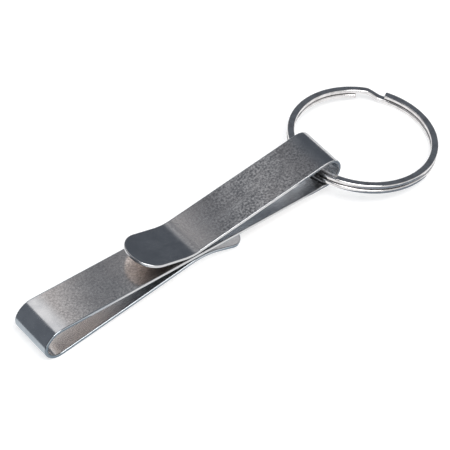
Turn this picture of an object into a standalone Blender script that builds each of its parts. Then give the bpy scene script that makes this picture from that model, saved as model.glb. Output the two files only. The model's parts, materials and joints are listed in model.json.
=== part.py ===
"""Slip-on belt key clip.

One strip of spring steel is bent into a flat S: a straight spine with a tight loop at each end, and a leg
that returns from each loop and closes on the spine at a flared tongue. A two-turn split ring hangs in one
loop.
The strip is modelled as three bodies, because its two legs spring open. The ring is modelled as two, because
its free end lifts to take a key. Everything is worked out in the spine's own plane: x runs along the spine
towards the split ring, z is the spine's normal and y is across the strip.
"""

import math

import bmesh
import bpy
from mathutils import Vector

MM = 0.001
UP = Vector((0.0, 0.0, 1.0))

# Strip
STRIP_WIDTH = 12.7 * MM
STRIP_THICKNESS = 0.86 * MM
SPINE_LENGTH = 81.7 * MM
HAIRLINE = 0.3 * MM

# Each end of the strip, from the spine outwards. A loop is an arc beside the spine, then a tighter one that
# runs on into the leg; a throat is the bend that nearly touches the spine; a lip is the flared tongue.
RING_END = {
    "spine_side_radius": 3.95 * MM,
    "spine_side_turn": math.radians(102.3),
    "leg_side_radius": 3.88 * MM,
    "leg_slope": math.radians(9.3),
    "leg_length": 39.8 * MM,
    "throat_radius": 12.7 * MM,
    "lip_flare": math.radians(15.5),
    "lip_length": 12.3 * MM,
    "lip_round": 5.8 * MM,
}
BELT_END = {
    "spine_side_radius": 4.86 * MM,
    "spine_side_turn": math.radians(54.2),
    "leg_side_radius": 3.88 * MM,
    "leg_slope": math.radians(9.76),
    "leg_length": 39.7 * MM,
    "throat_radius": 16.9 * MM,
    "lip_flare": math.radians(19.4),
    "lip_length": 10.2 * MM,
    "lip_round": 5.4 * MM,
}
HINGE_OFFSET = 0.5 * MM  # how far past the loop each leg's flexing line is

# Split ring
RING_OUTER_RADIUS = 19.55 * MM
WIRE_WIDTH = 1.84 * MM
WIRE_RADIUS = RING_OUTER_RADIUS - WIRE_WIDTH / 2  # to the middle of the wire
WIRE_HEIGHT = 1.26 * MM
WIRE_CORNER = 0.3 * MM
RING_CENTRE_X = 58.6 * MM
RING_CENTRE_Y = 0.8 * MM
RING_PITCH = math.radians(8.8)  # how far the ring's plane drops towards its far side, from level
UPPER_END = math.radians(31.0)  # the upper turn's cut end, measured from the ring's far side
RAMP_END = math.radians(33.5)  # where the wire reaches the lower turn's level
RAMP_START = math.radians(47.5)  # where the upper turn starts down
LOWER_END = math.radians(54.5)  # the lower turn's cut end
LIFTING_ARC = math.radians(95.0)  # how much of the upper turn lifts to take a key

# Finish
STEEL_COLOUR = (0.46, 0.44, 0.43)
STEEL_ROUGHNESS = 0.3
NICKEL_COLOUR = (0.62, 0.62, 0.64)
NICKEL_ROUGHNESS = 0.14
CREASE_ANGLE = math.radians(30.0)  # edges sharper than this are shaded as edges

# Facets
ARC_STEP = math.radians(8.0)
RING_STEP = math.radians(7.5)
RAMP_STEP = math.radians(2.4)
TONGUE_STEPS = 9
TONGUE_SWEEP = math.radians(87.0)  # the rounded tip stops just short of a point


# ---------------------------------------------------------------- strip

class Station:
    """One cross-section of the strip: its centre, the direction it runs in and its half width."""

    def __init__(self, x, z, heading, half_width=STRIP_WIDTH / 2):
        self.x = x
        self.z = z
        self.heading = heading
        self.half_width = half_width

    def moved(self, distance, half_width=STRIP_WIDTH / 2):
        x = self.x + distance * math.cos(self.heading)
        z = self.z + distance * math.sin(self.heading)
        return Station(x, z, self.heading, half_width)

    def turned(self, radius, angle):
        """The station at the end of an arc; a positive angle turns left."""
        side = math.copysign(1.0, angle)
        end = self.heading + angle
        x = self.x + side * radius * (math.sin(end) - math.sin(self.heading))
        z = self.z - side * radius * (math.cos(end) - math.cos(self.heading))
        return Station(x, z, end)

    def opposite(self):
        """The same station on the other end of the spine."""
        return Station(-self.x, -self.z, self.heading + math.pi, self.half_width)

    def reversed(self):
        return Station(self.x, self.z, self.heading + math.pi, self.half_width)


def arc(start, radius, angle):
    steps = max(1, math.ceil(abs(angle) / ARC_STEP))
    return [start.turned(radius, angle * k / steps) for k in range(1, steps + 1)]


def loop_stations(end):
    """From the middle of the spine to the end of the loop, where the leg begins."""
    stations = [Station(0.0, 0.0, 0.0), Station(SPINE_LENGTH / 2, 0.0, 0.0)]
    stations += arc(stations[-1], end["spine_side_radius"], end["spine_side_turn"])
    rest = math.pi + end["leg_slope"] - end["spine_side_turn"]
    stations += arc(stations[-1], end["leg_side_radius"], rest)
    return stations


def leg_stations(end):
    """From the hairline past the loop to the rounded tip of the tongue."""
    root = loop_stations(end)[-1]
    stations = [root.moved(HINGE_OFFSET + HAIRLINE / 2), root.moved(end["leg_length"])]
    turn = -(end["leg_slope"] + end["lip_flare"])
    stations += arc(stations[-1], end["throat_radius"], turn)
    throat = stations[-1]
    straight = end["lip_length"] - end["lip_round"]
    for k in range(TONGUE_STEPS + 1):
        around = TONGUE_SWEEP * k / TONGUE_STEPS
        reach = straight + end["lip_round"] * math.sin(around)
        stations.append(throat.moved(reach, STRIP_WIDTH / 2 * math.cos(around)))
    return stations


def spine_stations():
    """The whole spine with both loops, from one leg's hairline to the other's."""
    stub = HINGE_OFFSET - HAIRLINE / 2
    ring_side = loop_stations(RING_END)
    ring_side.append(ring_side[-1].moved(stub))
    belt_side = loop_stations(BELT_END)
    belt_side.append(belt_side[-1].moved(stub))
    belt_side = [s.opposite().reversed() for s in reversed(belt_side[1:])]
    return belt_side + ring_side[1:]


def hinge_point(end):
    return loop_stations(end)[-1].moved(HINGE_OFFSET)


def strip_mesh(name, stations, origin):
    """A closed strip through the stations, with its vertices measured from the origin point."""
    bm = bmesh.new()
    rows = []
    for s in stations:
        across = Vector((-math.sin(s.heading), 0.0, math.cos(s.heading))) * STRIP_THICKNESS / 2
        centre = Vector((s.x, 0.0, s.z)) - origin
        side = Vector((0.0, s.half_width, 0.0))
        lower = (centre - side - across, centre + side - across)
        upper = (centre + side + across, centre - side + across)
        rows.append([bm.verts.new(corner) for corner in lower + upper])
    for row, following in zip(rows, rows[1:]):
        for k in range(4):
            n = (k + 1) % 4
            bm.faces.new((row[k], row[n], following[n], following[k]))
    bm.faces.new(rows[0][::-1])
    bm.faces.new(rows[-1])
    return finished_mesh(bm, name)


# ---------------------------------------------------------------- split ring

def wire_section():
    """The wire's flattened section, as offsets outwards and upwards from its centre."""
    w = WIRE_WIDTH / 2
    h = WIRE_HEIGHT / 2
    c = WIRE_CORNER
    right = [(w, -h + c), (w, h - c), (w - c, h), (-w + c, h)]
    return right + [(-u, -v) for u, v in right]


def wire_height(angle):
    """How high the wire's centre is above the ring's middle plane. The upper turn drops over the ramp."""
    level = (WIRE_HEIGHT + HAIRLINE) / 2
    if angle >= RAMP_START:
        return level
    if angle <= RAMP_END:
        return -level
    share = (angle - RAMP_END) / (RAMP_START - RAMP_END)
    return level * (2.0 * share * share * (3.0 - 2.0 * share) - 1.0)


def wire_angles(first, last):
    """Angles from first down to last, closer together on the ramp."""
    stops = [first] + [a for a in (RAMP_START, RAMP_END) if last < a < first] + [last]
    angles = [first]
    for high, low in zip(stops, stops[1:]):
        step = RAMP_STEP if (high, low) == (RAMP_START, RAMP_END) else RING_STEP
        count = math.ceil((high - low) / step)
        angles += [high - (high - low) * k / count for k in range(1, count + 1)]
    return angles


def wire_mesh(name, first, last, origin):
    """The wire from one angle down to another. Angles beyond the ramp's start are the upper turn."""
    bm = bmesh.new()
    rows = []
    section = wire_section()
    for angle in wire_angles(first, last):
        out = Vector((math.cos(angle), math.sin(angle), 0.0))
        centre = out * WIRE_RADIUS + UP * wire_height(angle) - origin
        rows.append([bm.verts.new(centre + out * u + UP * v) for u, v in section])
    count = len(section)
    for row, following in zip(rows, rows[1:]):
        for k in range(count):
            n = (k + 1) % count
            bm.faces.new((row[k], row[n], following[n], following[k]))
    bm.faces.new(rows[0][::-1])
    bm.faces.new(rows[-1])
    return finished_mesh(bm, name)


# ---------------------------------------------------------------- objects

def finished_mesh(bm, name):
    bmesh.ops.recalc_face_normals(bm, faces=bm.faces)
    mesh = bpy.data.meshes.new(name)
    bm.to_mesh(mesh)
    bm.free()
    return mesh


def metal(name, colour, roughness):
    material = bpy.data.materials.new(name)
    material.use_nodes = True
    shader = material.node_tree.nodes["Principled BSDF"]
    shader.inputs["Base Color"].default_value = (*colour, 1.0)
    shader.inputs["Metallic"].default_value = 1.0
    shader.inputs["Roughness"].default_value = roughness
    return material


def place(name, mesh, location, parent, material):
    mesh.materials.append(material)
    mesh.shade_smooth()
    mesh.set_sharp_from_angle(angle=CREASE_ANGLE)
    node = bpy.data.objects.new(name, mesh)
    bpy.context.collection.objects.link(node)
    node.location = location
    node.parent = parent
    return node


def empty(name, parent=None):
    helper = bpy.data.objects.new(name, None)
    bpy.context.collection.objects.link(helper)
    helper.parent = parent
    return helper


def resting_tilt():
    """The turn about y that puts the belt loop and the lower tongue's tip on one level."""
    loop = loop_stations(BELT_END)[-1].opposite()
    radius = BELT_END["leg_side_radius"]
    centre = Vector((loop.x, loop.z)) + radius * Vector((-math.sin(loop.heading), math.cos(loop.heading)))
    tip = leg_stations(BELT_END)[-1].opposite()
    below = Vector((math.sin(tip.heading), -math.cos(tip.heading))) * STRIP_THICKNESS / 2
    reach = Vector((tip.x, tip.z)) + below - centre
    drop = radius + STRIP_THICKNESS / 2
    return math.asin(drop / reach.length) + math.atan2(reach.y, reach.x)


def build_strip(frame):
    steel = metal("spring_steel", STEEL_COLOUR, STEEL_ROUGHNESS)
    ring_hinge = hinge_point(RING_END)
    belt_hinge = hinge_point(BELT_END).opposite()
    ring_origin = Vector((ring_hinge.x, 0.0, ring_hinge.z))
    belt_origin = Vector((belt_hinge.x, 0.0, belt_hinge.z))
    belt_leg = [s.opposite() for s in leg_stations(BELT_END)]
    place("clip_spine", strip_mesh("clip_spine", spine_stations(), Vector()), (0, 0, 0), frame, steel)
    place("ring_leg", strip_mesh("ring_leg", leg_stations(RING_END), ring_origin), ring_origin, frame, steel)
    place("belt_leg", strip_mesh("belt_leg", belt_leg, belt_origin), belt_origin, frame, steel)


def build_ring(frame, tilt):
    """The ring turns about the middle of its loop. Its far side rests where the strip rests."""
    wire = metal("ring_wire", NICKEL_COLOUR, NICKEL_ROUGHNESS)
    pivot = Vector((SPINE_LENGTH / 2, 0.0, RING_END["spine_side_radius"]))
    swing = empty("ring_swing", frame)
    swing.location = pivot
    pitch = RING_PITCH - tilt
    swing.rotation_euler = (0.0, pitch, 0.0)
    stack = WIRE_HEIGHT + HAIRLINE / 2
    rise = RING_OUTER_RADIUS * math.sin(RING_PITCH) + stack * math.cos(RING_PITCH)
    centre_height = lowest_point(tilt) + rise
    centre_z = (centre_height + RING_CENTRE_X * math.sin(tilt)) / math.cos(tilt)
    from_pivot = Vector((RING_CENTRE_X, RING_CENTRE_Y, centre_z)) - pivot
    from_pivot.rotate(swing.rotation_euler.to_matrix().inverted())
    full = 2.0 * math.pi
    upper_end = UPPER_END + full
    lift_line = upper_end - LIFTING_ARC
    lower_end = LOWER_END - full
    half_gap = HAIRLINE / 2 / RING_OUTER_RADIUS
    main = wire_mesh("split_ring", lift_line - half_gap, lower_end, -from_pivot)
    place("split_ring", main, (0, 0, 0), swing, wire)
    out = Vector((math.cos(lift_line), math.sin(lift_line), 0.0))
    line = out * WIRE_RADIUS + UP * wire_height(lift_line)
    free = wire_mesh("ring_free_end", upper_end, lift_line + half_gap, line)
    place("ring_free_end", free, line + from_pivot, swing, wire)


def lowest_point(tilt):
    """The height of the lowest point of the tilted strip."""
    heights = []
    for s in spine_stations():
        across = STRIP_THICKNESS / 2 * math.cos(s.heading)
        out = STRIP_THICKNESS / 2 * math.sin(s.heading)
        for side in (-1, 1):
            heights.append((s.z + side * across) * math.cos(tilt) - (s.x - side * out) * math.sin(tilt))
    return min(heights)


def stand_on_origin(frame):
    """Moves the frame so that the whole part stands on z = 0, centred over the origin."""
    bpy.context.view_layer.update()
    nodes = [o for o in bpy.data.objects if o.type == "MESH"]
    points = [o.matrix_world @ v.co for o in nodes for v in o.data.vertices]
    low = Vector([min(p[k] for p in points) for k in range(3)])
    high = Vector([max(p[k] for p in points) for k in range(3)])
    frame.location -= Vector(((low.x + high.x) / 2, (low.y + high.y) / 2, low.z))


def main():
    for old in list(bpy.data.objects):
        bpy.data.objects.remove(old, do_unlink=True)
    tilt = resting_tilt()
    frame = empty("clip_frame")
    frame.rotation_euler = (0.0, tilt, 0.0)
    build_strip(frame)
    build_ring(frame, tilt)
    stand_on_origin(frame)


main()
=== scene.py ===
"""Looks for the slip-on belt key clip: a bent nickel-plated spring strip and a two-turn split ring.

The strip is modelled flat, as a plate with rounded edges and round tongues, and is then wrapped along its
bent centre line. The centre line has the same driving dimensions as the CAD strip. Where it lies comes from
the frame: the two leg hinges fix the strip, and the hinge of the ring's free end fixes the ring.
"""

import json
import math

import bmesh
import bpy
from mathutils import Matrix, Vector


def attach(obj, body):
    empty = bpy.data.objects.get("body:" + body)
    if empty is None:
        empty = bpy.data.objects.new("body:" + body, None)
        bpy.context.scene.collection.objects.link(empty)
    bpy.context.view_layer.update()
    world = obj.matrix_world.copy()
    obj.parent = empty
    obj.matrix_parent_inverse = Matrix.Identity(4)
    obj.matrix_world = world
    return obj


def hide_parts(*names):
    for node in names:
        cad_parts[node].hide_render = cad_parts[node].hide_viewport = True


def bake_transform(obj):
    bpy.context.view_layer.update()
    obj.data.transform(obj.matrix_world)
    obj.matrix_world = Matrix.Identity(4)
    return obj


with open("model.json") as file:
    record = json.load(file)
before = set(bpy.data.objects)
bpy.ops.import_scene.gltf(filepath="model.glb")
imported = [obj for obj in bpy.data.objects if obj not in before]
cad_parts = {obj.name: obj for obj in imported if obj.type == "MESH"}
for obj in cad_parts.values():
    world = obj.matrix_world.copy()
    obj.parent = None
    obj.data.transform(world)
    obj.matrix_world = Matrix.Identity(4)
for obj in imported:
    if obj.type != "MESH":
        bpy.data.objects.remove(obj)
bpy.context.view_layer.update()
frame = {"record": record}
JOINTS = {joint["name"]: joint for joint in frame["record"]["behaviour"]["joints"]}

MM = 0.001

# Strip, as in the CAD
STRIP_WIDTH = 12.7 * MM
STRIP_THICKNESS = 0.86 * MM
SPINE_LENGTH = 81.7 * MM
HINGE_OFFSET = 0.5 * MM
RING_END = {
    "spine_side": (3.95 * MM, math.radians(102.3)),
    "leg_side_radius": 3.88 * MM,
    "leg_slope": math.radians(9.3),
    "leg_length": 39.8 * MM,
    "throat_radius": 12.7 * MM,
    "lip_flare": math.radians(15.5),
    "lip_length": 12.3 * MM,
    "lip_round": 5.8 * MM,
}
BELT_END = {
    "spine_side": (4.86 * MM, math.radians(54.2)),
    "leg_side_radius": 3.88 * MM,
    "leg_slope": math.radians(9.76),
    "leg_length": 39.7 * MM,
    "throat_radius": 16.9 * MM,
    "lip_flare": math.radians(19.4),
    "lip_length": 10.2 * MM,
    "lip_round": 5.4 * MM,
}

# Strip surface
EDGE_RADIUS = 0.24 * MM
EDGE_STEPS = 4
SUPPORT = 0.2 * MM
COLUMNS = 8
STRAIGHT_STEP = 1.5 * MM
BEND_STEP = math.radians(3.0)
TONGUE_STEPS = 26
SHORTEST_RUN = 1e-6 * MM
WELD_DISTANCE = 0.001 * MM
SHARP_ANGLE = math.radians(50.0)
LEG_BEND_REACH = 4.0 * MM

# Ring, as in the CAD
RING_OUTER_RADIUS = 19.55 * MM
WIRE_WIDTH = 1.84 * MM
WIRE_HEIGHT = 1.26 * MM
TURN_GAP = 0.3 * MM
UPPER_END = math.radians(31.0)
RAMP_END = math.radians(33.5)
RAMP_START = math.radians(47.5)
LOWER_END = math.radians(54.5)
WIRE_RADIUS = RING_OUTER_RADIUS - WIRE_WIDTH / 2
TURN_LEVEL = (WIRE_HEIGHT + TURN_GAP) / 2

# Ring surface
WIRE_STEP = math.radians(1.5)
SECTION_STEPS = 28
SIDE_POWER = 0.62
FACE_POWER = 0.5
CUT_EASE = 0.1 * MM
CUT_SIZE = 0.86

# Where the strip's finish and its painted light change: along the strip, positive towards the ring
INNER_CHANGE = (-14.0 * MM, -2.0 * MM)
# Where the belt side's painted reflection and painted shade take over
BELT_SIDE_PAINTED_LIGHT_CHANGE = (-30.0 * MM, -20.0 * MM)
# Before a loop's start and after its end
POLISH_FADE = 3.5 * MM
# From a crease, where the bend into the tongue starts
TONGUE_CHANGE = (0.5 * MM, 3.0 * MM)
# Painted sheen beside the crease
PAINTED_SHEEN_CHANGE = (-10.0 * MM, -2.0 * MM)
# Where the lip's painted sheen starts
LIP_SHEEN_CHANGE = (-4.0 * MM, 2.0 * MM)
# From the middle of the belt loop, where the painted reflection tint turns cool
COOL_TINT_CHANGE = (15.0 * MM, 35.0 * MM)

# Noise patterns: scale per metre, detail and roughness. A span is the part of a pattern that shows.
SPECKLE = (1700.0, 3.0, 0.62)
CLOUD = (260.0, 4.0, 0.55)
PATCH = (60.0, 2.0, 0.5)
SMUDGE = (180.0, 5.0, 0.6)
DRAW_LINES = (3600.0, 2.0, 0.5)
WEAR = (420.0, 4.0, 0.6)
GRAIN_SPAN = (0.37, 0.63)
PATCH_SPAN = (0.4, 0.65)
SMUDGE_SPAN = (0.35, 0.65)
WEAR_SPAN = (0.4, 0.7)
SPECKLE_SHARE = 0.78
PATCH_SHARE = 0.35
SPINE_MOTTLE = 0.46
# Strength of the painted sheen beside each crease
PAINTED_SHEEN_SHARE = 0.4
GRAIN_RELIEF = (0.14, 0.06 * MM)
LINE_RELIEF = (0.12, 0.04 * MM)
POLISHED_DEPTH = 0.12
LINE_STRETCH = 0.12

# Roughness over a pattern's span: the pattern's two values, then the roughness at each
MATTE_ROUGHNESS = (0.35, 0.65, 0.25, 0.17)
POLISHED_ROUGHNESS = (0.35, 0.7, 0.16, 0.22)
WIRE_ROUGHNESS = (0.35, 0.7, 0.07, 0.16)

# Reflected tones
MATTE_DARK = (0.25, 0.25, 0.26, 1.0)
MATTE_LIGHT = (0.85, 0.82, 0.80, 1.0)
WARM_PATCH = (0.60, 0.545, 0.52, 1.0)
# Painted sheen: a light warm tone beside each crease in place of a reflection
PAINTED_CREASE_SHEEN = (1.0, 0.94, 0.90, 1.0)
# Clean, smudged
RING_LOOP_TONES = ((0.47, 0.472, 0.485, 1.0), (0.56, 0.558, 0.565, 1.0))
# The belt loop's polish is painted lighter: a painted reflection
BELT_LOOP_PAINTED_LIGHT_TONES = ((0.63, 0.635, 0.65, 1.0), (0.75, 0.75, 0.755, 1.0))
# Ring's side, belt's side; the belt's side is painted shade, darker and bluer, standing in for a dim rim
# reflection
RIM_TONES_WITH_PAINTED_SHADE = ((0.56, 0.56, 0.565, 1.0), (0.40, 0.425, 0.45, 1.0))
# Painted reflection tints inside the bends: near the belt loop, away from it
INSIDE_REFLECTION_TONES = ((0.76, 0.73, 0.715, 1.0), (0.72, 0.735, 0.755, 1.0))
# The lip's underside is painted pale and warm: a painted sheen that shows again in its reflection on the
# spine
LIP_UNDERSIDE_SHEEN = (1.0, 0.92, 0.87, 1.0)
# Bright, worn
WIRE_TONES = ((0.71, 0.695, 0.69, 1.0), (0.55, 0.53, 0.525, 1.0))

# Studio
FLOOR_REACH = 4.0
FLOOR_REFLECTANCE = (0.60, 0.60, 0.60, 1.0)
FLOOR_GLOW = 0.55
FLAG_LEVEL = 0.05 * MM
WHITE = (1.0, 1.0, 1.0, 1.0)
BLACK = (0.0, 0.0, 0.0, 1.0)
SLATE = (0.137, 0.153, 0.178, 1.0)
STEEL_BLUE = (0.42, 0.50, 0.56, 1.0)
PALE_BLUE = (0.57, 0.63, 0.68, 1.0)
DIM_BLUE = (0.28, 0.32, 0.37, 1.0)
WARM_LIGHT = (1.0, 0.975, 0.955)
FRONT_FADE = (-0.25, -0.6)

# View
VIEW_AZIMUTH = math.radians(-37.64)
VIEW_ELEVATION = math.radians(48.06)
VIEW_ROLL = math.radians(-0.56)
VIEW_DISTANCE = 645.3 * MM
VIEW_AIM = Vector((-2.9, -0.98, 3.71)) * MM
VIEW_REACH = 20.0
LENS_MM = 207.3
SENSOR_MM = 36.0


# ---------------------------------------------------------------- strip centre line

class Bend:
    """The centre line from the middle of the spine to one end, as straight runs and arcs."""

    def __init__(self, end):
        spine_radius, spine_turn = end["spine_side"]
        leg_turn = math.pi + end["leg_slope"] - spine_turn
        throat_turn = -(end["leg_slope"] + end["lip_flare"])
        self.runs = [
            (SPINE_LENGTH / 2, 0.0),
            (spine_radius * spine_turn, spine_turn),
            (end["leg_side_radius"] * leg_turn, leg_turn),
            (end["leg_length"], 0.0),
            (end["throat_radius"] * -throat_turn, throat_turn),
            (end["lip_length"], 0.0),
        ]
        self.starts = [sum(length for length, _ in self.runs[:k]) for k in range(len(self.runs))]
        self.loop_start, self.loop_turn, self.loop_end, self.crease = self.starts[1:5]
        self.length = sum(length for length, _ in self.runs)
        self.hinge = self.loop_end + HINGE_OFFSET
        self.round_start = self.length - end["lip_round"]
        self.lip_round = end["lip_round"]

    def at(self, distance):
        """x, z and heading at a distance from the middle of the spine."""
        x = z = heading = 0.0
        for length, turn in self.runs:
            part = min(distance, length)
            angle = turn * part / length
            if turn:
                radius = length / turn
                x += radius * (math.sin(heading + angle) - math.sin(heading))
                z -= radius * (math.cos(heading + angle) - math.cos(heading))
            else:
                x += part * math.cos(heading)
                z += part * math.sin(heading)
            heading += angle
            distance -= part
            if distance <= 0.0:
                break
        return x, z, heading

    def distances(self, first, last):
        """Distances from first to last, close together in the bends."""
        found = [first]
        for start, (length, turn) in zip(self.starts, self.runs):
            low = max(first, start)
            high = min(last, start + length)
            if high - low < SHORTEST_RUN:
                continue
            step = BEND_STEP * length / abs(turn) if turn else STRAIGHT_STEP
            count = max(1, math.ceil((high - low) / step))
            found += [low + (high - low) * k / count for k in range(1, count + 1)]
        return found


RING_BEND = Bend(RING_END)
BELT_BEND = Bend(BELT_END)


def centre_line(s):
    """x, z and heading in the spine's frame. Negative s is the belt end, turned half way round."""
    if s >= 0.0:
        return RING_BEND.at(s)
    x, z, heading = BELT_BEND.at(-s)
    return -x, -z, heading


def strip_placement():
    """The spine frame's place in the shared frame, from the two leg hinges."""
    ring_hinge = Vector(JOINTS["ring_leg_spring"]["pos_m"])
    belt_hinge = Vector(JOINTS["belt_leg_spring"]["pos_m"])
    x_ring, z_ring, _ = centre_line(RING_BEND.hinge)
    x_belt, z_belt, _ = centre_line(-BELT_BEND.hinge)
    there = ring_hinge - belt_hinge
    turn = math.atan2(z_ring - z_belt, x_ring - x_belt) - math.atan2(there.z, there.x)
    rotation = Matrix.Rotation(turn, 4, "Y")
    halfway = Vector(((x_ring + x_belt) / 2, 0.0, (z_ring + z_belt) / 2))
    origin = (ring_hinge + belt_hinge) / 2 - rotation @ halfway
    return Matrix.Translation(origin) @ rotation


PLACEMENT = strip_placement()


# ---------------------------------------------------------------- strip mesh

def edge_profile():
    """The rounded edge from the upper face to the lower one, as (inset from the outline, height)."""
    flat = STRIP_THICKNESS / 2 - EDGE_RADIUS
    upper = [(EDGE_RADIUS + SUPPORT, STRIP_THICKNESS / 2)]
    for k in range(EDGE_STEPS + 1):
        a = math.pi / 2 * k / EDGE_STEPS
        upper.append((EDGE_RADIUS * (1.0 - math.sin(a)), flat + EDGE_RADIUS * math.cos(a)))
    return upper + [(inset, -height) for inset, height in reversed(upper)]


EDGE = edge_profile()


def plain_rows(s_values):
    """Plate rows with straight sides: s, half width and the side's outward direction in the plate."""
    return [(s, STRIP_WIDTH / 2, Vector((0.0, 1.0))) for s in s_values]


def tongue_rows(bend, sign):
    """Plate rows that close the plate in a half ellipse."""
    rows = []
    half = STRIP_WIDTH / 2
    for k in range(1, TONGUE_STEPS + 1):
        a = math.pi / 2 * k / TONGUE_STEPS
        outward = Vector((half * math.sin(a) * sign, bend.lip_round * math.cos(a))).normalized()
        rows.append((sign * (bend.round_start + bend.lip_round * math.sin(a)), half * math.cos(a), outward))
    return rows


def row_points(row):
    """One row's closed loop of plate points: s, y, height and whether the point is on the rounded edge."""
    s, half, outward = row
    side = []
    for inset, height in EDGE:
        on_edge = 1.0 if inset <= EDGE_RADIUS else 0.0
        side.append((s - inset * outward.x, half - inset * outward.y, height, on_edge))
    top_s, top_y, top, _ = side[0]
    low_s, low_y, low, _ = side[-1]
    across = [1.0 - 2.0 * k / COLUMNS for k in range(1, COLUMNS)]
    points = side + [(low_s, low_y * share, low, 0.0) for share in across]
    points += [(u, -y, height, on_edge) for u, y, height, on_edge in reversed(side)]
    return points + [(top_s, -top_y * share, top, 0.0) for share in across]


def wrapped(s, y, height):
    """A plate point's place in the shared frame."""
    x, z, heading = centre_line(s)
    local = Vector((x - height * math.sin(heading), y, z + height * math.cos(heading)))
    return PLACEMENT @ local


def write_uv(bm, name, places):
    """A UV map that holds each vertex's own place in it."""
    layer = bm.loops.layers.uv.new(name)
    for face in bm.faces:
        for loop in face.loops:
            loop[layer].uv = places[loop.vert]


def loft(bm, loops):
    """Faces from each loop of vertices to the next, and over both ends."""
    count = len(loops[0])
    for ring, following in zip(loops, loops[1:]):
        for k in range(count):
            n = (k + 1) % count
            bm.faces.new((ring[k], ring[n], following[n], following[k]))
    bm.faces.new(loops[0])
    bm.faces.new(loops[-1])


def linked(name, bm):
    """The finished mesh's object, in the scene."""
    mesh = bpy.data.meshes.new(name)
    bm.to_mesh(mesh)
    bm.free()
    item = bpy.data.objects.new(name, mesh)
    bpy.context.scene.collection.objects.link(item)
    return item


def smooth_piece(name, bm):
    """The mesh as a piece with smooth faces and sharp corners."""
    bmesh.ops.recalc_face_normals(bm, faces=bm.faces)
    piece = linked(name, bm)
    piece.data.shade_smooth()
    piece.data.set_sharp_from_angle(angle=SHARP_ANGLE)
    return piece


def strip_piece(name, rows):
    """A closed piece of the strip through its plate rows.

    The UV map "plate" holds the plate coordinates in metres. In the map "edge", x is 1 on the rounded edges
    and y is 1 on the plate's upper side.
    """
    bm = bmesh.new()
    loops = []
    flat = {}
    rounded = {}
    for row in rows:
        ring = []
        for s, y, height, on_edge in row_points(row):
            vertex = bm.verts.new(wrapped(s, y, height))
            flat[vertex] = (s, y + math.copysign(STRIP_THICKNESS / 2 - height, y))
            rounded[vertex] = (on_edge, 1.0 if height > 0.0 else 0.0)
            ring.append(vertex)
        loops.append(ring)
    loft(bm, loops)
    write_uv(bm, "plate", flat)
    write_uv(bm, "edge", rounded)
    bmesh.ops.remove_doubles(bm, verts=bm.verts, dist=WELD_DISTANCE)
    return smooth_piece(name, bm)


def spine_piece():
    belt_side = [-s for s in reversed(BELT_BEND.distances(0.0, BELT_BEND.hinge))]
    ring_side = RING_BEND.distances(0.0, RING_BEND.hinge)
    return strip_piece("spine_strip", plain_rows(belt_side + ring_side[1:]))


def leg_piece(name, bend, sign):
    straight = [sign * s for s in bend.distances(bend.hinge, bend.round_start)]
    return strip_piece(name, plain_rows(straight) + tongue_rows(bend, sign))


# ---------------------------------------------------------------- ring mesh

def ring_placement():
    """The ring plane's place in the shared frame, and the angle of the free end's hinge in that plane."""
    lift = JOINTS["ring_end_lift"]
    outward = Vector(lift["axis"]).normalized()
    pitch = math.atan2(-outward.z, outward.x)
    rotation = Matrix.Rotation(pitch, 4, "Y")
    line = rotation.inverted() @ outward
    centre = Vector(lift["pos_m"]) - rotation @ (line * WIRE_RADIUS + Vector((0.0, 0.0, TURN_LEVEL)))
    return Matrix.Translation(centre) @ rotation, math.atan2(line.y, line.x)


RING_PLACEMENT, LIFT_LINE = ring_placement()


def signed_power(value, power):
    return math.copysign(abs(value) ** power, value)


def wire_section():
    """The flattened wire's section: a box with well rounded corners, as offsets outwards and upwards."""
    points = []
    for k in range(SECTION_STEPS):
        a = 2.0 * math.pi * k / SECTION_STEPS
        out = WIRE_WIDTH / 2 * signed_power(math.cos(a), SIDE_POWER)
        up = WIRE_HEIGHT / 2 * signed_power(math.sin(a), FACE_POWER)
        points.append((out, up))
    return points


def eased(share):
    return share * share * (3.0 - 2.0 * share)


def wire_level(angle):
    """The wire's height in the ring: low before the ramp, high after it."""
    share = (angle - RAMP_END) / (RAMP_START - RAMP_END)
    return TURN_LEVEL * (2.0 * eased(min(1.0, max(0.0, share))) - 1.0)


def wire_piece(name, first, last, first_cut, last_cut):
    """The wire between two angles, with its length and section as a UV map in metres. A cut end is eased."""
    count = math.ceil((first - last) / WIRE_STEP)
    rows = [(first - (first - last) * k / count, 1.0) for k in range(count + 1)]
    ease = CUT_EASE / WIRE_RADIUS
    if first_cut:
        rows = [(first, CUT_SIZE), (first - ease, 1.0)] + rows[1:]
    if last_cut:
        rows = rows[:-1] + [(last + ease, 1.0), (last, CUT_SIZE)]
    section = wire_section()
    girth = 2 * (WIRE_WIDTH + WIRE_HEIGHT)
    bm = bmesh.new()
    flat = {}
    loops = []
    for angle, size in rows:
        out = Vector((math.cos(angle), math.sin(angle), 0.0))
        centre = out * WIRE_RADIUS + Vector((0.0, 0.0, wire_level(angle)))
        ring = []
        for k, (u, v) in enumerate(section):
            vertex = bm.verts.new(RING_PLACEMENT @ (centre + size * (out * u + Vector((0.0, 0.0, v)))))
            flat[vertex] = (angle * WIRE_RADIUS, k / SECTION_STEPS * girth)
            ring.append(vertex)
        loops.append(ring)
    loft(bm, loops)
    write_uv(bm, "plate", flat)
    return smooth_piece(name, bm)


# ---------------------------------------------------------------- materials

# The mix node's colour sockets
MIX_SHARE = 0
MIX_FIRST = 6
MIX_SECOND = 7
MIX_RESULT = 2


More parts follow.
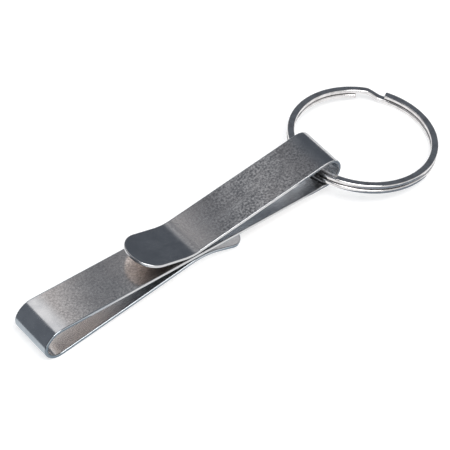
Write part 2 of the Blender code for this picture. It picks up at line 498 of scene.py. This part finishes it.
class Nodes:
    """A small helper for writing node trees."""

    def __init__(self, tree):
        self.tree = tree

    def link(self, source, target):
        self.tree.links.new(source, target)

    def give(self, socket, value):
        """A link when the value is another node's output, a plain value otherwise."""
        if isinstance(value, bpy.types.NodeSocket):
            self.link(value, socket)
        else:
            socket.default_value = value

    def new(self, kind, **inputs):
        node = self.tree.nodes.new(kind)
        for name, value in inputs.items():
            self.give(node.inputs[name], value)
        return node

    def math(self, operation, first, second=0.0):
        node = self.tree.nodes.new("ShaderNodeMath")
        node.operation = operation
        self.give(node.inputs[0], first)
        self.give(node.inputs[1], second)
        return node.outputs[0]

    def remap(self, value, low, high, to_low=0.0, to_high=1.0, kind="SMOOTHSTEP"):
        node = self.tree.nodes.new("ShaderNodeMapRange")
        node.interpolation_type = kind
        self.give(node.inputs["Value"], value)
        self.give(node.inputs["From Min"], low)
        self.give(node.inputs["From Max"], high)
        self.give(node.inputs["To Min"], to_low)
        self.give(node.inputs["To Max"], to_high)
        return node.outputs["Result"]

    def mix(self, share, first, second):
        """The first colour where the share is 0 and the second where it is 1."""
        node = self.tree.nodes.new("ShaderNodeMix")
        node.data_type = "RGBA"
        self.give(node.inputs[MIX_SHARE], share)
        self.give(node.inputs[MIX_FIRST], first)
        self.give(node.inputs[MIX_SECOND], second)
        return node.outputs[MIX_RESULT]

    def noise(self, vector, scale, detail, roughness):
        node = self.new("ShaderNodeTexNoise", Vector=vector, Scale=scale, Detail=detail, Roughness=roughness)
        return node.outputs["Fac"]

    def bump(self, height, strength, distance):
        node = self.new("ShaderNodeBump", Strength=strength, Distance=distance, Height=height)
        return node.outputs["Normal"]

    def uv(self, name):
        node = self.tree.nodes.new("ShaderNodeUVMap")
        node.uv_map = name
        return node.outputs["UV"]


def metal(name):
    material = bpy.data.materials.new(name)
    material.use_nodes = True
    nodes = Nodes(material.node_tree)
    shader = material.node_tree.nodes["Principled BSDF"]
    shader.inputs["Metallic"].default_value = 1.0
    return material, nodes, shader


def strip_material():
    """Tumbled nickel: a fine mottle on the flats that fades to a polish at the loops and tongues."""
    material, nodes, shader = metal("tumbled_nickel")
    flat = nodes.uv("plate")
    along = nodes.new("ShaderNodeSeparateXYZ", Vector=flat).outputs["X"]
    edge = nodes.new("ShaderNodeSeparateXYZ", Vector=nodes.uv("edge"))
    on_edge = edge.outputs["X"]
    inner = inner_mask(nodes, along, edge.outputs["Y"])
    polish = nodes.math("MAXIMUM", either_end(nodes, along, polish_mask), on_edge)
    cloud = nodes.noise(flat, *CLOUD)
    grain = grain_pattern(nodes, flat, along, cloud)

    outer = nodes.mix(polish, matte_colour(nodes, flat, along, grain), polished_colour(nodes, flat, along))
    # Rounded edges: painted shade, darker and bluer on the belt's side
    outer = nodes.mix(on_edge, outer, nodes.mix(belt_side_painted_light_mask(nodes, along), *RIM_TONES_WITH_PAINTED_SHADE))
    bare = nodes.math("MULTIPLY", inner, nodes.math("SUBTRACT", 1.0, on_edge))
    # The faces inside the bends get their painted reflection tints
    nodes.link(nodes.mix(bare, outer, inside_painted_reflection(nodes, along)), shader.inputs["Base Color"])

    rough = nodes.remap(grain, *MATTE_ROUGHNESS)
    smooth = nodes.remap(cloud, *POLISHED_ROUGHNESS)
    rough_part = nodes.math("MULTIPLY", rough, nodes.math("SUBTRACT", 1.0, polish))
    smooth_part = nodes.math("MULTIPLY", smooth, polish)
    nodes.link(nodes.math("ADD", rough_part, smooth_part), shader.inputs["Roughness"])

    flatness = nodes.math("SUBTRACT", 1.0, nodes.math("MAXIMUM", on_edge, inner))
    relief = nodes.remap(polish, 0.0, 1.0, 1.0, POLISHED_DEPTH, "LINEAR")
    depth = nodes.math("MULTIPLY", relief, flatness)
    height = nodes.math("MULTIPLY", nodes.math("SUBTRACT", grain, 0.5), depth)
    nodes.link(nodes.bump(height, *GRAIN_RELIEF), shader.inputs["Normal"])
    return material


def grain_pattern(nodes, flat, along, cloud):
    """The mottle, centred on 0.5: full on the ring's leg and fainter on the rest."""
    speckle = nodes.math("MULTIPLY", nodes.noise(flat, *SPECKLE), SPECKLE_SHARE)
    mottle = nodes.math("ADD", speckle, nodes.math("MULTIPLY", cloud, 1.0 - SPECKLE_SHARE))
    contrast = nodes.remap(along, RING_BEND.loop_turn, RING_BEND.loop_end, SPINE_MOTTLE, 1.0)
    centred = nodes.math("MULTIPLY", nodes.math("SUBTRACT", mottle, 0.5), contrast)
    return nodes.math("ADD", centred, 0.5)


def matte_colour(nodes, flat, along, grain):
    """Mottled nickel with warm patches, and a painted sheen beside each crease that stands in for a
    reflection.
    """
    mottled = nodes.mix(nodes.remap(grain, *GRAIN_SPAN), MATTE_DARK, MATTE_LIGHT)
    patch = nodes.remap(nodes.noise(flat, *PATCH), *PATCH_SPAN, 0.0, PATCH_SHARE)
    # Painted sheen beside each crease, standing in for a reflection
    painted_sheen = nodes.math("MULTIPLY", either_end(nodes, along, painted_sheen_mask), PAINTED_SHEEN_SHARE)
    return nodes.mix(painted_sheen, nodes.mix(patch, mottled, WARM_PATCH), PAINTED_CREASE_SHEEN)


def polished_colour(nodes, flat, along):
    """Polished nickel with faint smudges, painted a little brighter on the belt's side as a painted
    reflection.
    """
    smudge = nodes.remap(nodes.noise(flat, *SMUDGE), *SMUDGE_SPAN)
    ring_loop = nodes.mix(smudge, *RING_LOOP_TONES)
    belt_loop = nodes.mix(smudge, *BELT_LOOP_PAINTED_LIGHT_TONES)
    # Painted reflection: the belt loop's polish is lighter than the ring loop's
    return nodes.mix(belt_side_painted_light_mask(nodes, along), ring_loop, belt_loop)


def inside_painted_reflection(nodes, along):
    """The faces inside the bends, with painted reflection tints: warm in the belt loop, cooler away from it,
    and a pale painted sheen under the lip.
    """
    loop_middle = (BELT_BEND.loop_start + BELT_BEND.loop_end) / 2
    from_loop = nodes.math("ABSOLUTE", nodes.math("ADD", along, loop_middle))
    inside = nodes.mix(nodes.remap(from_loop, *COOL_TINT_CHANGE), *INSIDE_REFLECTION_TONES)
    lip = nodes.remap(along, *shifted(LIP_SHEEN_CHANGE, RING_BEND.crease))
    return nodes.mix(lip, inside, LIP_UNDERSIDE_SHEEN)


def inner_mask(nodes, along, upper):
    """1 on the plate's side that faces into a loop: upper at the ring's end and lower at the belt's."""
    side = nodes.remap(upper, 0.0, 1.0, -1.0, 1.0, "LINEAR")
    end = nodes.remap(along, *INNER_CHANGE, -1.0, 1.0)
    return nodes.remap(nodes.math("MULTIPLY", side, end), -0.5, 0.5)


def shifted(change, start):
    """A change's two ends, measured from a start."""
    return change[0] + start, change[1] + start


# Where the belt side's painted light lies: 1 on the belt's side
def belt_side_painted_light_mask(nodes, along):
    return nodes.remap(along, *BELT_SIDE_PAINTED_LIGHT_CHANGE, 1.0, 0.0)


def either_end(nodes, along, mask):
    """A mask's value at whichever end of the strip it is larger."""
    ring_end = mask(nodes, along, RING_BEND)
    belt_end = mask(nodes, nodes.math("MULTIPLY", along, -1.0), BELT_BEND)
    return nodes.math("MAXIMUM", ring_end, belt_end)


def polish_mask(nodes, distance, bend):
    """1 at the loop and the tongue, 0 on the flats."""
    rise = nodes.remap(distance, bend.loop_start - POLISH_FADE, bend.loop_start)
    fall = nodes.remap(distance, bend.loop_end, bend.loop_end + POLISH_FADE, 1.0, 0.0)
    tongue = nodes.remap(distance, *shifted(TONGUE_CHANGE, bend.crease))
    return nodes.math("MAXIMUM", nodes.math("MULTIPLY", rise, fall), tongue)


def painted_sheen_mask(nodes, distance, bend):
    """Where the painted sheen lies: 1 beside the crease, fading out along the leg."""
    return nodes.remap(distance, *shifted(PAINTED_SHEEN_CHANGE, bend.crease))


def ring_material():
    """Bright nickel wire, with faint draw lines along it and a little wear."""
    material, nodes, shader = metal("ring_nickel")
    flat = nodes.uv("plate")
    stretch = nodes.new("ShaderNodeMapping", Vector=flat, Scale=(LINE_STRETCH, 1.0, 1.0))
    lines = nodes.noise(stretch.outputs["Vector"], *DRAW_LINES)
    wear = nodes.noise(flat, *WEAR)
    nodes.link(nodes.mix(nodes.remap(wear, *WEAR_SPAN), *WIRE_TONES), shader.inputs["Base Color"])
    nodes.link(nodes.remap(wear, *WIRE_ROUGHNESS), shader.inputs["Roughness"])
    nodes.link(nodes.bump(lines, *LINE_RELIEF), shader.inputs["Normal"])
    return material


# ---------------------------------------------------------------- stage

def stage_card(name, corner, far_corner, level):
    """A level rectangle between two corners, and its shader."""
    (x, y), (far_x, far_y) = corner, far_corner
    bm = bmesh.new()
    bm.faces.new([bm.verts.new((u, v, level)) for u, v in ((x, y), (far_x, y), (far_x, far_y), (x, far_y))])
    card = linked(name, bm)
    material = bpy.data.materials.new(name)
    material.use_nodes = True
    card.data.materials.append(material)
    return card, material.node_tree.nodes["Principled BSDF"]


def stage_floor():
    """A matt floor that glows a little, so that shadows on it stay faint."""
    floor, shader = stage_card("floor", (-FLOOR_REACH, -FLOOR_REACH), (FLOOR_REACH, FLOOR_REACH), 0.0)
    shader.inputs["Base Color"].default_value = FLOOR_REFLECTANCE
    shader.inputs["Roughness"].default_value = 0.9
    shader.inputs["Specular IOR Level"].default_value = 0.1
    shader.inputs["Emission Color"].default_value = WHITE
    shader.inputs["Emission Strength"].default_value = FLOOR_GLOW


def flag(name, corner, far_corner, colour):
    """A flat card just above the floor between two corners, which only reflections see."""
    card, shader = stage_card(name, corner, far_corner, FLAG_LEVEL)
    shader.inputs["Base Color"].default_value = BLACK
    shader.inputs["Specular IOR Level"].default_value = 0.0
    shader.inputs["Emission Color"].default_value = colour
    shader.inputs["Emission Strength"].default_value = 1.0
    card.visible_camera = False
    card.visible_diffuse = False
    card.visible_shadow = False


def softbox(name, place, target, size, radiance, colour=WHITE[:3]):
    """A rectangular area light that faces its target, as bright as a card of that radiance."""
    data = bpy.data.lights.new(name, "AREA")
    data.shape = "RECTANGLE"
    data.size, data.size_y = size
    data.energy = math.pi * radiance * size[0] * size[1]
    data.color = colour
    light = bpy.data.objects.new(name, data)
    bpy.context.scene.collection.objects.link(light)
    light.location = place
    light.rotation_euler = (Vector(place) - Vector(target)).to_track_quat("Z", "Y").to_euler()
    light.visible_camera = False


def flags_and_lights():
    """Places and sizes in metres."""
    softbox("overhead", (-0.15, -0.55, 1.4), (0.0, 0.0, 0.0), (1.1, 0.9), 5.5)
    flag("far_left_flag", (-0.0708, -0.02), (-FLOOR_REACH, FLOOR_REACH), SLATE)
    flag("ring_flag", (0.022, -0.009), (0.050, -0.040), DIM_BLUE)
    flag("near_left_flag", (-0.0708, -0.03), (-0.060, 0.02), PALE_BLUE)
    flag("loop_front_flag", (-0.060, -0.0066), (-0.045, -0.03), STEEL_BLUE)
    flag("leg_front_flag", (-0.045, -0.0066), (0.0, -0.0105), STEEL_BLUE)
    near_size = (0.085, 0.09)
    side_size = (0.023, 0.09)
    softbox("near_card", (-0.032, 0.078, 0.118), (-0.040, 0.0, 0.008), near_size, 0.80, WARM_LIGHT)
    softbox("side_card", (0.0425, 0.078, 0.118), (0.0345, 0.0, 0.008), side_size, 0.28)


def sky():
    """A studio that is white in front of the part and slate above, beside and behind it."""
    world = bpy.data.worlds.new("studio")
    bpy.context.scene.world = world
    world.use_nodes = True
    nodes = Nodes(world.node_tree)
    background = world.node_tree.nodes["Background"]
    direction = nodes.new("ShaderNodeTexCoord").outputs["Generated"]
    parts = nodes.new("ShaderNodeSeparateXYZ", Vector=direction)
    front = nodes.remap(parts.outputs["Y"], *FRONT_FADE)
    nodes.link(nodes.mix(front, SLATE, WHITE), background.inputs["Color"])
    background.inputs["Strength"].default_value = 1.0
    bpy.context.scene.view_settings.view_transform = "Standard"


def camera():
    data = bpy.data.cameras.new("view")
    data.sensor_width = SENSOR_MM
    data.lens = LENS_MM
    data.dof.use_dof = False
    data.clip_end = VIEW_REACH
    viewer = bpy.data.objects.new("view", data)
    bpy.context.scene.collection.objects.link(viewer)
    across = math.cos(VIEW_ELEVATION)
    away = Vector((
        math.sin(VIEW_AZIMUTH) * across,
        -math.cos(VIEW_AZIMUTH) * across,
        math.sin(VIEW_ELEVATION),
    ))
    place = Matrix.Translation(VIEW_AIM + away * VIEW_DISTANCE)
    aimed = away.to_track_quat("Z", "Y").to_matrix().to_4x4()
    viewer.matrix_world = place @ aimed @ Matrix.Rotation(VIEW_ROLL, 4, "Z")
    bpy.context.scene.camera = viewer


# ---------------------------------------------------------------- assembly

def dress(piece, material, node):
    piece.data.materials.append(material)
    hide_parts(node)


def build_strip():
    steel = strip_material()
    spine = spine_piece()
    dress(spine, steel, "clip_spine")
    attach(spine, "clip_body")
    for name, bend, sign, node, body in (
        ("upper_leg_strip", RING_BEND, 1.0, "ring_leg", "ring_side_leg"),
        ("lower_leg_strip", BELT_BEND, -1.0, "belt_leg", "belt_side_leg"),
    ):
        leg = leg_piece(name, bend, sign)
        dress(leg, steel, node)
        hinge = wrapped(sign * bend.hinge, 0.0, 0.0)
        beyond = wrapped(sign * (bend.hinge + LEG_BEND_REACH), 0.0, 0.0)
        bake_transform(leg)


def build_ring():
    nickel = ring_material()
    full = 2.0 * math.pi
    lift = LIFT_LINE % full
    main = wire_piece("ring_wire", lift, LOWER_END - full, False, True)
    dress(main, nickel, "split_ring")
    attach(main, "key_ring")
    free = wire_piece("ring_wire_end", UPPER_END + full, lift, True, False)
    dress(free, nickel, "ring_free_end")
    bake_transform(free)


stage_floor()
sky()
flags_and_lights()
camera()
build_strip()
build_ring()
